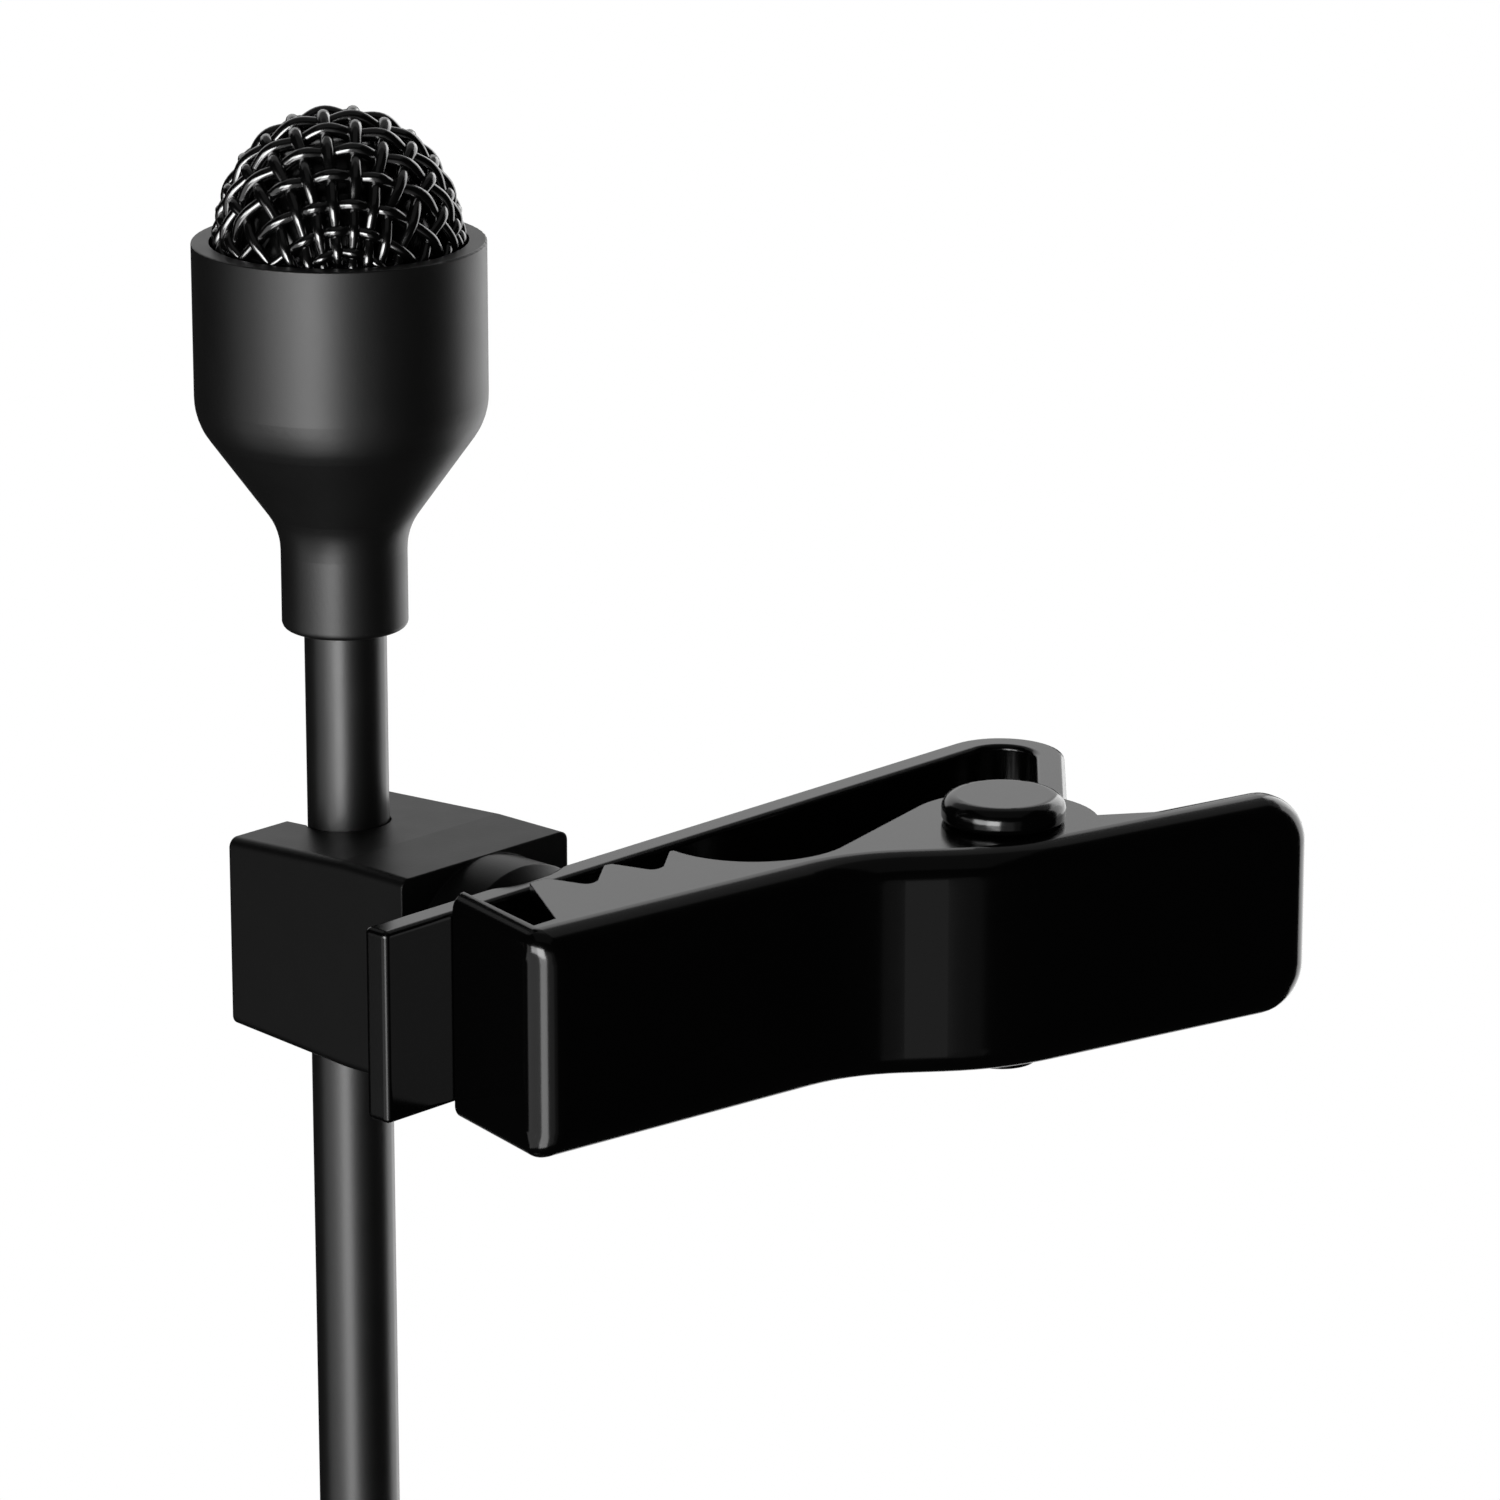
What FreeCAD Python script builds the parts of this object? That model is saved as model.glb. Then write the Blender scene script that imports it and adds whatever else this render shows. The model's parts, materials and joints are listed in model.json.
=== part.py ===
"""Lavalier microphone on a tie clip, as a parametric assembly of separate pieces.

Frame: +Z up, +X along the clip from the jaw's tip towards the pivot, +Y from the clip towards the cable.
The origin is where the jaw grips the garment: on the plate's front face, at mid-height, on the swivel axis.
All sizes are in millimetres and come from the spreadsheet "Dims".
"""
import FreeCAD, Part
import math
import os
import re

import Sketcher
from FreeCAD import Placement, Rotation, Vector

# ---------------------------------------------------------------- driving dimensions
DIMS = {
    # clip frame: plate, loop, return wall, knuckle
    "plate_start": -7.55, "plate_thick": 1.05, "plate_half": 3.35, "plate_edge": 0.2,
    "loop_centre_x": 21.8, "loop_centre_y": -1.2, "loop_outer": 2.25,
    "arm_angle": 41.7, "pivot_x": 14.4, "pivot_y": -7.78,
    "knuckle_half": 2.35, "spring_room_half": 1.4, "spring_room_radius": 1.6,
    "hub_clear": 3.65, "seat_radius": 3.9, "seat_depth": 0.5,
    # pivot pin, its washer and the spring
    "pin_radius": 0.8, "running_gap": 0.04, "rivet_radius": 2.15, "rivet_height": 0.9, "rivet_round": 0.5,
    "rivet_foot": 0.2, "tail_lip": 0.4, "tail_thick": 0.35,
    "washer_radius": 1.7, "washer_thick": 0.3, "spring_wire": 0.4, "spring_turns": 5, "spring_mean": 1.1,
    "spring_level": 1.1, "spring_leg": 4.6, "leg_clear": 0.2, "wire_clear": 0.15, "groove_reach": 1.38,
    # clip lever
    "lever_half": 3.97, "lip_gap": 0.03, "tip_x": -4.5, "corner_x": -5.85, "corner_y": -5.5,
    "waist_x": 7.57, "waist_y": -7.27, "handle_x": 11.54, "handle_y": -10.69,
    "handle_end_x": 24.15, "handle_end_y": -13.757, "handle_thick": 2.2, "handle_angle": 13.7,
    "handle_root": 2.67, "hub_radius": 3.3, "hub_from": -45, "hub_sweep": 165,
    "hub_line_x": 13.71, "hub_line_y": -4.55,
    "hollow_x": 7.6, "hollow_y": -2.4, "hollow_radius": 3.5, "hollow_front": 4.6, "hollow_top": -0.6,
    "back_x": 8.33, "back_y": -5.82, "pocket_half": 2.45, "pocket_radius": 2.3, "pocket_turn": 27,
    "pocket_reach": 7, "waist_round": 5.4, "handle_round": 9.0, "outer_round": 1.05, "inner_round": 0.95,
    "end_round": 1.8, "tip_round": 0.55, "corner_round": 1.0,
    "notch_top_x": -3.96, "notch_front_x": -4.94, "notch_back_x": -3.93, "notch_low_y": -4.29,
    "gullet_x": -1.78, "gullet_y": -0.95, "tooth_x": -1.03, "tooth_y": -0.96, "tooth_pitch": 2.7,
    "jaw_slope": 10.8, "tooth_tip_round": 0.14, "tooth_root_round": 0.32,
    # cable holder
    "cord_axis": 9.65, "block_half": 3.95, "block_edge": 0.35, "block_front": 2.95, "block_bend": 6.05,
    "block_back": 11.45, "block_front_half": 3.7, "block_back_half": 3.38, "bore_radius": 1.48,
    "slot_half": 1.22, "boss_radius": 3.68, "boss_end": 1.15, "boss_root": 0.5, "nose_depth": 0.42,
    "swivel_radius": 0.9, "swivel_head": 1.7, "swivel_head_depth": 0.25, "swivel_reach": 6.4,
    "swivel_start": 0.02, "friction_radius": 2.8, "friction_thick": 0.12,
    # microphone housing, measured down from the rim
    "rim_height": 24.0, "head_radius": 5.0, "head_wall": 0.6, "shoulder": 6.09, "cone_end": 10.02,
    "neck_radius": 2.17, "neck_end": 13.5, "head_round": 2.4, "neck_round": 2.3, "cavity_depth": 3.9,
    "lower_cavity_depth": 6.8, "lower_cavity_radius": 3.0, "neck_bore": 1.55, "bush_seat": 1.85,
    "bush_length": 2.2, "bush_recess": 0.12, "neck_edge": 0.25, "rim_edge": 0.06,
    # woven wire dome, its ring and the domed gauze inside it
    "dome_radius": 4.37, "wire_thick": 0.45, "grille_ring_height": 0.7, "grille_ring_wall": 0.35,
    "screen_drop": 0.75, "screen_thick": 0.12, "screen_radius": 3.5,
    # electret capsule
    "capsule_radius": 3.0, "capsule_height": 2.6, "can_wall": 0.15, "capsule_drop": 1.15,
    "port_radius": 0.35, "port_circle": 1.3, "felt_thick": 0.12, "felt_inset": 0.1, "boot_gap": 0.02,
    "film_ring": 0.2, "film_thick": 0.04, "spacer_thick": 0.1, "hoop_wall": 0.45, "plate_disc": 0.2,
    "plate_disc_radius": 2.2, "vent_radius": 0.15, "vent_circle": 1.3, "gate_inset": 0.2, "gate_wall": 0.15,
    "board_thick": 0.4, "chip_length": 1.3, "chip_width": 1.1, "chip_height": 0.5,
    "pad_radius": 0.4, "pad_height": 0.3, "pad_offset": 1.1, "lead_radius": 0.22,
    # cable, coil, tie and plug
    "cord_radius": 1.415, "cord_top": 19.0, "ferrule_top": 18.9, "ferrule_wall": 0.3,
    "ferrule_length": 1.6, "bend_z": -31.0, "coil_z": -58.0, "coil_inner": 12.75, "coil_rows": 3,
    "coil_columns": 4, "coil_edge": 1.3, "tie_width": 6.0, "tie_thick": 0.8, "tie_slack": 0.03,
    "tie_droop": 0.3, "tail_y": 16.9, "tail_lean_z": -64.0, "tail_end": -86.0, "relief_length": 9.0,
    "relief_small": 1.9, "relief_large": 2.7, "plug_radius": 4.0, "plug_length": 17.0, "plug_edge": 0.8,
    "jack_radius": 1.75, "sleeve_length": 7.0, "insulator_length": 0.6, "ring_length": 2.4,
    "tip_length": 3.4, "tip_root": 1.1, "tip_neck": 1.15, "tip_bulge": 2.0, "tip_bulge_inset": 0.1,
    "tip_point": 0.45, "core_radius": 0.7, "core_foot": 6.0, "core_head": 1.0,
}

doc = FreeCAD.newDocument("lavalier_microphone")
sheet = doc.addObject("Spreadsheet::Sheet", "Dims")
for row, (alias, value) in enumerate(DIMS.items(), start=1):
    sheet.set("A%d" % row, alias)
    sheet.set("B%d" % row, str(value))
    sheet.setAlias("B%d" % row, alias)
doc.recompute()

# Values worked out from the driving dimensions, used where a shape needs a number in Python.
CORD_PITCH = 2 * DIMS["cord_radius"]
COIL_OUTER = DIMS["coil_inner"] + CORD_PITCH * (DIMS["coil_rows"] - 1)
ARM = math.radians(DIMS["arm_angle"])

ALIAS = re.compile(r"\b(" + "|".join(sorted(DIMS, key=len, reverse=True)) + r")\b")


def bind(target, prop, expression):
    """Bind a property to an expression written with bare aliases."""
    target.setExpression(prop, ALIAS.sub(r"Dims.\1", str(expression)))


def place(target, x="0", y="0", z="0", rotation=None):
    """Give an object a fixed rotation and a position bound to the sheet."""
    if rotation is not None:
        target.Placement = Placement(Vector(0, 0, 0), rotation)
    for axis, expression in (("x", x), ("y", y), ("z", z)):
        if str(expression) != "0":
            bind(target, "Placement.Base." + axis, expression)
    return target


ALONG_Y = Rotation(Vector(1, 0, 0), -90)       # a primitive's +Z turned to +Y


# ---------------------------------------------------------------- building blocks
def cylinder(name, radius, height, x="0", y="0", z="0", rotation=None, angle=None):
    solid = doc.addObject("Part::Cylinder", name)
    bind(solid, "Radius", radius)
    bind(solid, "Height", height)
    if angle is not None:
        bind(solid, "Angle", angle)
    return place(solid, x, y, z, rotation)


def box(name, size_x, size_y, size_z, x="0", y="0", z="0", rotation=None):
    solid = doc.addObject("Part::Box", name)
    bind(solid, "Length", size_x)
    bind(solid, "Width", size_y)
    bind(solid, "Height", size_z)
    return place(solid, x, y, z, rotation)


def cone(name, low_radius, high_radius, height, x="0", y="0", z="0", rotation=None):
    solid = doc.addObject("Part::Cone", name)
    bind(solid, "Radius1", low_radius)
    bind(solid, "Radius2", high_radius)
    bind(solid, "Height", height)
    return place(solid, x, y, z, rotation)


def cut(name, base, tool):
    result = doc.addObject("Part::Cut", name)
    result.Base, result.Tool = base, tool
    return result


def fuse(name, *shapes):
    result = doc.addObject("Part::MultiFuse", name)
    result.Shapes = list(shapes)
    result.Refine = True
    return result


def polygon(body, name, plane, points):
    """A closed sketch of straight lines whose corners are bound to expressions."""
    sketch = body.newObject("Sketcher::SketchObject", name)
    origin_plane = next(f for f in body.Origin.OriginFeatures if f.Role == plane)
    sketch.AttachmentSupport = [(origin_plane, "")]
    sketch.MapMode = "FlatFace"
    count = len(points)
    turns = [math.tau * i / count for i in range(count)]
    guess = [Vector(math.cos(turn), math.sin(turn), 0) for turn in turns]
    for i in range(count):
        sketch.addGeometry(Part.LineSegment(guess[i], guess[(i + 1) % count]))
    for i in range(count):
        sketch.addConstraint(Sketcher.Constraint("Coincident", i, 2, (i + 1) % count, 1))
    for i, (across, up) in enumerate(points):
        for kind, axis, expression in (("DistanceX", -2, across), ("DistanceY", -1, up)):
            if str(expression) == "0":
                sketch.addConstraint(Sketcher.Constraint("PointOnObject", i, 1, axis))
            else:
                index = sketch.addConstraint(Sketcher.Constraint(kind, -1, 1, i, 1, 1.0))
                bind(sketch, "Constraints[%d]" % index, expression)
    return sketch


def prism(name, points, half_height):
    """A plan outline padded equally above and below Z = 0."""
    body = doc.addObject("PartDesign::Body", name)
    sketch = polygon(body, name + "_plan", "XY_Plane", points)
    pad = body.newObject("PartDesign::Pad", name + "_pad")
    pad.Profile = sketch
    bind(pad, "Length", "2 * (%s)" % half_height)
    place(body, z="-(%s)" % half_height)
    doc.recompute()
    return body


def turned(name, points, y="cord_axis"):
    """A solid of revolution about a vertical axis, from an outline of (radius, height) corners."""
    body = doc.addObject("PartDesign::Body", name)
    sketch = polygon(body, name + "_profile", "XZ_Plane", points)
    turn = body.newObject("PartDesign::Revolution", name + "_turn")
    turn.Profile = sketch
    turn.ReferenceAxis = (sketch, ["V_Axis"])
    turn.Angle = 360
    place(body, y=y)
    doc.recompute()
    return body


def ring(name, outer, inner, low, high, y="cord_axis"):
    """A flat-ended ring, from its radii and its two levels."""
    return turned(name, [(inner, low), (outer, low), (outer, high), (inner, high)], y)


def disc(name, radius, low, high, y="cord_axis"):
    return cylinder(name, radius, "(%s) - (%s)" % (high, low), y=y, z=low)


def edges_where(shape, test):
    """Numbers of the edges that pass a test on the edge and its middle point."""
    picked = []
    for number, edge in enumerate(shape.Edges, start=1):
        middle = edge.valueAt((edge.FirstParameter + edge.LastParameter) / 2)
        if test(edge, middle):
            picked.append(number)
    return picked


def rounded(name, base, radius_tests):
    """Fillet the edges that pass each test, each group with its own (start, end) radius."""
    doc.recompute()
    result = doc.addObject("Part::Fillet", name)
    result.Base = base
    chosen = []
    for test, start, end in radius_tests:
        chosen += [(number, start, end) for number in edges_where(base.Shape, test)]
    result.Edges = chosen
    doc.recompute()
    return result


def label(solid, name):
    solid.Label = name
    NODES.append(solid)
    return solid


NODES = []


# ---------------------------------------------------------------- clip frame body
ARM_ALONG = Rotation(Vector(0, 0, 1), DIMS["arm_angle"] + 180)        # local +X from the loop to the pivot
ARM_NORMAL = Rotation(Vector(0, 0, 1), DIMS["arm_angle"] - 90)        # local +X out of the return wall
WALL_LENGTH = ("(loop_centre_x - pivot_x) * cos(arm_angle)"
               " + (loop_centre_y - pivot_y) * sin(arm_angle)")
KNUCKLE = ("(loop_outer + (loop_centre_x - pivot_x) * sin(arm_angle)"
           " - (loop_centre_y - pivot_y) * cos(arm_angle))")
LOOP_INNER = "(loop_outer - plate_thick)"
PIVOT = {"x": "pivot_x", "y": "pivot_y"}


def return_wall(name, half_height):
    """The straight wall from the loop to the pivot, its outer face tangent to the loop and the knuckle."""
    return box(name, WALL_LENGTH, "plate_thick", "2 * (%s)" % half_height,
               x="loop_centre_x + %s * sin(arm_angle)" % LOOP_INNER,
               y="loop_centre_y - %s * cos(arm_angle)" % LOOP_INNER,
               z="-(%s)" % half_height, rotation=ARM_ALONG)


def at_level(level):
    return lambda edge, middle: abs(abs(middle.z) - level) < 1e-3


def make_clip_frame():
    plate = box("plate", "loop_centre_x - plate_start", "plate_thick", "2 * plate_half",
                x="plate_start", z="-plate_half")
    loop_place = {"x": "loop_centre_x", "y": "loop_centre_y", "z": "-plate_half"}
    loop = cut("loop", cylinder("loop_outside", "loop_outer", "2 * plate_half", angle="180 - arm_angle",
                                rotation=ARM_NORMAL, **loop_place),
               cylinder("loop_inside", LOOP_INNER, "2 * plate_half", **loop_place))
    strip = fuse("strip", plate, loop, return_wall("wall_full", "plate_half"))
    strip_edges = rounded("strip_rounded", strip, [
        (at_level(DIMS["plate_half"]), DIMS["plate_edge"], DIMS["plate_edge"]),
        (lambda edge, middle: middle.x < DIMS["plate_start"] + 1e-3 and abs(middle.z) < 1e-3,
         DIMS["plate_edge"], DIMS["plate_edge"])])
    strip_clear = cut("strip_clear", strip_edges,
                      cylinder("hub_clearance", "hub_clear", "2 * plate_half", z="-plate_half", **PIVOT))
    knuckle = cylinder("knuckle", KNUCKLE, "2 * knuckle_half", z="-knuckle_half", **PIVOT)
    whole = fuse("frame_whole", strip_clear, return_wall("wall_low", "knuckle_half"), knuckle)
    room = cylinder("spring_room", "spring_room_radius", "2 * spring_room_half", z="-spring_room_half",
                    **PIVOT)
    room_mouth = box("spring_room_mouth", "knuckle_half * 3", "2 * knuckle_half", "2 * spring_room_half",
                     x="pivot_x + 1.5 * knuckle_half * cos(arm_angle) - 2 * knuckle_half * sin(arm_angle)",
                     y="pivot_y + 1.5 * knuckle_half * sin(arm_angle) + 2 * knuckle_half * cos(arm_angle)",
                     z="-spring_room_half", rotation=ARM_ALONG)
    groove = box("leg_groove", "spring_leg + leg_clear", "spring_wire + wire_clear",
                 "spring_wire + wire_clear",
                 x="pivot_x + (spring_leg + leg_clear) * cos(arm_angle) + spring_mean * sin(arm_angle)"
                   " - (spring_wire / 2 + wire_clear / 2) * sin(arm_angle)",
                 y="pivot_y + (spring_leg + leg_clear) * sin(arm_angle) - spring_mean * cos(arm_angle)"
                   " + (spring_wire / 2 + wire_clear / 2) * cos(arm_angle)",
                 z="spring_level - spring_wire / 2 - wire_clear / 2", rotation=ARM_ALONG)
    bore = cylinder("frame_pin_bore", "pin_radius", "2 * plate_half", z="-plate_half", **PIVOT)
    seat = cone("swivel_seat", "seat_radius - seat_depth", "seat_radius + plate_edge",
                "seat_depth + plate_edge", y="plate_thick - seat_depth", rotation=ALONG_Y)
    pin_hole = cylinder("swivel_hole", "swivel_radius + running_gap", "plate_thick", rotation=ALONG_Y)
    head_sink = cylinder("swivel_head_sink", "swivel_head + running_gap", "swivel_head_depth + running_gap",
                         rotation=ALONG_Y)
    tools = fuse("frame_tools", room, room_mouth, groove, bore, seat, pin_hole, head_sink)
    label(cut("clip_frame_shape", whole, tools), "clip_frame")


def make_pivot_pin():
    lever_top = "(lever_half + running_gap)"
    head = turned("pin_head", [
        ("0", lever_top), ("rivet_radius", lever_top),
        ("rivet_radius", lever_top + " + rivet_height"), ("0", lever_top + " + rivet_height")], y="pivot_y")
    place(head, x="pivot_x", y="pivot_y")
    head_top = DIMS["lever_half"] + DIMS["running_gap"] + DIMS["rivet_height"]
    head_low = DIMS["lever_half"] + DIMS["running_gap"]
    head_round = rounded("pin_head_round", head, [
        (lambda edge, middle: abs(middle.z - head_top) < 1e-3 and edge.Length > 5,
         DIMS["rivet_round"], DIMS["rivet_round"]),
        (lambda edge, middle: abs(middle.z - head_low) < 1e-3 and edge.Length > 5,
         DIMS["rivet_foot"], DIMS["rivet_foot"])])
    tail_low = "-(lever_half + running_gap + washer_thick + tail_thick)"
    shank = cylinder("pin_shank", "pin_radius", lever_top + " + rivet_height / 2 - (%s)" % tail_low,
                     z=tail_low, **PIVOT)
    tail = cylinder("pin_tail", "pin_radius + tail_lip", "tail_thick", z=tail_low, **PIVOT)
    label(fuse("pivot_pin_shape", head_round, shank, tail), "pivot_pin")
    label(cut("pin_washer_shape",
              cylinder("washer_outside", "washer_radius", "washer_thick",
                       z="-(lever_half + running_gap + washer_thick)", **PIVOT),
              cylinder("washer_inside", "pin_radius", "washer_thick",
                       z="-(lever_half + running_gap + washer_thick)", **PIVOT)), "pin_washer")


def make_spring():
    """Five close turns with one leg in the return wall's groove and one along the handle's inner face."""
    mean, wire, level = DIMS["spring_mean"], DIMS["spring_wire"], DIMS["spring_level"]
    handle = math.radians(DIMS["handle_angle"])
    pitch = 2 * level / DIMS["spring_turns"]
    body = doc.addObject("PartDesign::Body", "spring_coil")
    section = body.newObject("Sketcher::SketchObject", "spring_section")
    upright_plane = next(f for f in body.Origin.OriginFeatures if f.Role == "XZ_Plane")
    section.AttachmentSupport = [(upright_plane, "")]
    section.MapMode = "FlatFace"
    section.addGeometry(Part.Circle(Vector(mean, -level, 0), Vector(0, 0, 1), wire / 2))
    across = section.addConstraint(Sketcher.Constraint("DistanceX", -1, 1, 0, 3, mean))
    down = section.addConstraint(Sketcher.Constraint("DistanceY", -1, 1, 0, 3, -level))
    size = section.addConstraint(Sketcher.Constraint("Radius", 0, wire / 2))
    bind(section, "Constraints[%d]" % across, "spring_mean")
    bind(section, "Constraints[%d]" % down, "-spring_level")
    bind(section, "Constraints[%d]" % size, "spring_wire / 2")
    coil = body.newObject("PartDesign::AdditiveHelix", "spring_turns_shape")
    coil.Profile = section
    coil.ReferenceAxis = (section, ["V_Axis"])
    coil.Mode = 1
    coil.Pitch = pitch
    coil.Turns = DIMS["spring_turns"]
    place(body, **PIVOT)
    doc.recompute()
    body.Placement = Placement(body.Placement.Base, Rotation(Vector(0, 0, 1), -90 - DIMS["handle_angle"]))
    low_leg = cylinder("spring_lever_leg", "spring_wire / 2", "spring_leg",
                       x="pivot_x - spring_mean * sin(handle_angle)",
                       y="pivot_y - spring_mean * cos(handle_angle)", z="-spring_level",
                       rotation=Rotation(Vector(0, 0, 1), Vector(math.cos(handle), -math.sin(handle), 0)))
    high_leg = cylinder("spring_frame_leg", "spring_wire / 2", "spring_leg",
                        x="pivot_x + spring_mean * sin(arm_angle)",
                        y="pivot_y - spring_mean * cos(arm_angle)", z="spring_level",
                        rotation=Rotation(Vector(0, 0, 1), Vector(math.cos(ARM), math.sin(ARM), 0)))
    label(fuse("torsion_spring_shape", body, low_leg, high_leg), "torsion_spring")


def make_swivel_washer():
    washer = cut("swivel_washer_shape",
                 cylinder("friction_outside", "friction_radius", "friction_thick",
                          y="plate_thick - seat_depth", rotation=ALONG_Y),
                 cylinder("friction_inside", "swivel_radius + 2 * running_gap", "friction_thick",
                          y="plate_thick - seat_depth", rotation=ALONG_Y))
    label(washer, "swivel_washer")


# ---------------------------------------------------------------- clip lever body
OUTER_LINE = [(DIMS["corner_x"], DIMS["corner_y"]), (DIMS["waist_x"], DIMS["waist_y"]),
              (DIMS["handle_x"], DIMS["handle_y"]), (DIMS["handle_end_x"], DIMS["handle_end_y"])]


def outer_offset(point):
    """Plan distance of a point inside the lever's outer line, measured along Y."""
    for (x0, y0), (x1, y1) in zip(OUTER_LINE, OUTER_LINE[1:]):
        if point.x <= x1 or (x1, y1) == OUTER_LINE[-1]:
            return point.y - (y0 + (point.x - x0) * (y1 - y0) / (x1 - x0))


def near(point, x, y, reach=0.05):
    return math.hypot(point.x - x, point.y - y) < reach


def make_lever_blank():
    """The lever's outline with its rounded outer edges, before the jaw and the hub pocket are cut."""
    back_end_x = "handle_end_x + handle_thick * sin(handle_angle)"
    back_end_y = "handle_end_y + handle_thick * cos(handle_angle)"
    root_x = "(pivot_x + handle_root)"
    root_y = "(%s + (handle_end_x + handle_thick * sin(handle_angle) - %s) * tan(handle_angle))" % (
        back_end_y, root_x)
    blank = prism("lever_outline", [
        ("tip_x", "-lip_gap"), ("corner_x", "corner_y"), ("waist_x", "waist_y"), ("handle_x", "handle_y"),
        ("handle_end_x", "handle_end_y"), (back_end_x, back_end_y), (root_x, root_y),
        ("pivot_x", "pivot_y"), ("hub_line_x", "hub_line_y"), ("back_x", "back_y"),
        ("hollow_front", "hollow_top"), ("tip_x + 1", "-lip_gap")], "lever_half")
    half = DIMS["lever_half"]
    turn = math.radians(DIMS["handle_angle"])
    inner_x = DIMS["handle_end_x"] + DIMS["handle_thick"] * math.sin(turn)
    inner_y = DIMS["handle_end_y"] + DIMS["handle_thick"] * math.cos(turn)
    end_x = (DIMS["handle_end_x"] + inner_x) / 2
    end_y = (DIMS["handle_end_y"] + inner_y) / 2

    def upright(x, y):
        return lambda edge, middle: near(middle, x, y) and abs(middle.z) < 1e-3

    shaped = rounded("lever_corners", blank, [
        (lambda edge, middle: near(middle, end_x, end_y) and abs(abs(middle.z) - half) < 1e-3,
         DIMS["end_round"], DIMS["end_round"]),
        (upright(*OUTER_LINE[1]), DIMS["waist_round"], DIMS["waist_round"]),
        (upright(*OUTER_LINE[2]), DIMS["handle_round"], DIMS["handle_round"])])

    def on_outer_rim(edge, middle):
        beside = abs(outer_offset(middle)) < 0.35 and middle.x > DIMS["corner_x"] + 1
        at_end = middle.x > DIMS["handle_end_x"] - 0.3
        return beside and (abs(middle.z) > half - DIMS["end_round"] or at_end)

    def on_inner_rim(edge, middle):
        depth = (middle.x - inner_x) * math.sin(turn) + (middle.y - inner_y) * math.cos(turn)
        beside = abs(depth) < 0.02 and middle.x > DIMS["pivot_x"] + 3
        return beside and (abs(middle.z) > half - DIMS["end_round"] or middle.x > inner_x - 0.05)

    def on_tip_rim(edge, middle):
        between = DIMS["corner_x"] - 0.1 < middle.x < DIMS["tip_x"] + 0.1
        at_top = abs(abs(middle.z) - half) < 1e-3
        return between and at_top and abs(outer_offset(middle)) > 1 and edge.Length > 3

    return rounded("lever_rounded", shaped, [
        (on_outer_rim, DIMS["outer_round"], DIMS["outer_round"]),
        (on_inner_rim, DIMS["inner_round"], DIMS["inner_round"]),
        (on_tip_rim, DIMS["tip_round"], DIMS["tip_round"]),
        (upright(*OUTER_LINE[0]), DIMS["corner_round"], DIMS["corner_round"])])


TOOTH = ((0.0, 0.0, "tooth_tip_round"), (0.75, -1.45, "tooth_root_round"),
         (1.25, -1.25, "tooth_root_round"), (2.4, 0.02, "tooth_tip_round"))


def jaw_corners():
    """The saw teeth's corners: distance along the jaw line, distance across it, and the corner's radius."""
    corners = []
    for tooth in range(2):
        for along, across, size in TOOTH:
            corners.append((tooth * DIMS["tooth_pitch"] + along, across, size))
    corners.append((2 * DIMS["tooth_pitch"], 0.0, "tooth_tip_round"))
    return corners


def jaw_cutter():
    """Everything between the plate and the jaw's profile: the tip's notch and the saw teeth."""
    points = [("notch_top_x", "-lip_gap"), ("notch_front_x", "notch_low_y"),
              ("notch_back_x", "notch_low_y"), ("gullet_x", "gullet_y")]
    for along, across, _ in jaw_corners():
        points.append(("tooth_x + %s * cos(jaw_slope) + %s * sin(jaw_slope)" % (along, across),
                       "tooth_y - %s * sin(jaw_slope) + %s * cos(jaw_slope)" % (along, across)))
    points += [("tooth_x + 2 * tooth_pitch + 1", "1"), ("notch_top_x", "1")]
    return prism("jaw_cutter", points, "lever_half + 1")


def tooth_rounds():
    """Fillet tests for the upright edges of the teeth."""
    slope = math.radians(DIMS["jaw_slope"])
    tests = []
    for along, across, size in jaw_corners():
        x = DIMS["tooth_x"] + along * math.cos(slope) + across * math.sin(slope)
        y = DIMS["tooth_y"] - along * math.sin(slope) + across * math.cos(slope)
        tests.append((lambda edge, middle, x=x, y=y: near(middle, x, y) and edge.Length > 5,
                      DIMS[size], DIMS[size]))
    return tests


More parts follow.
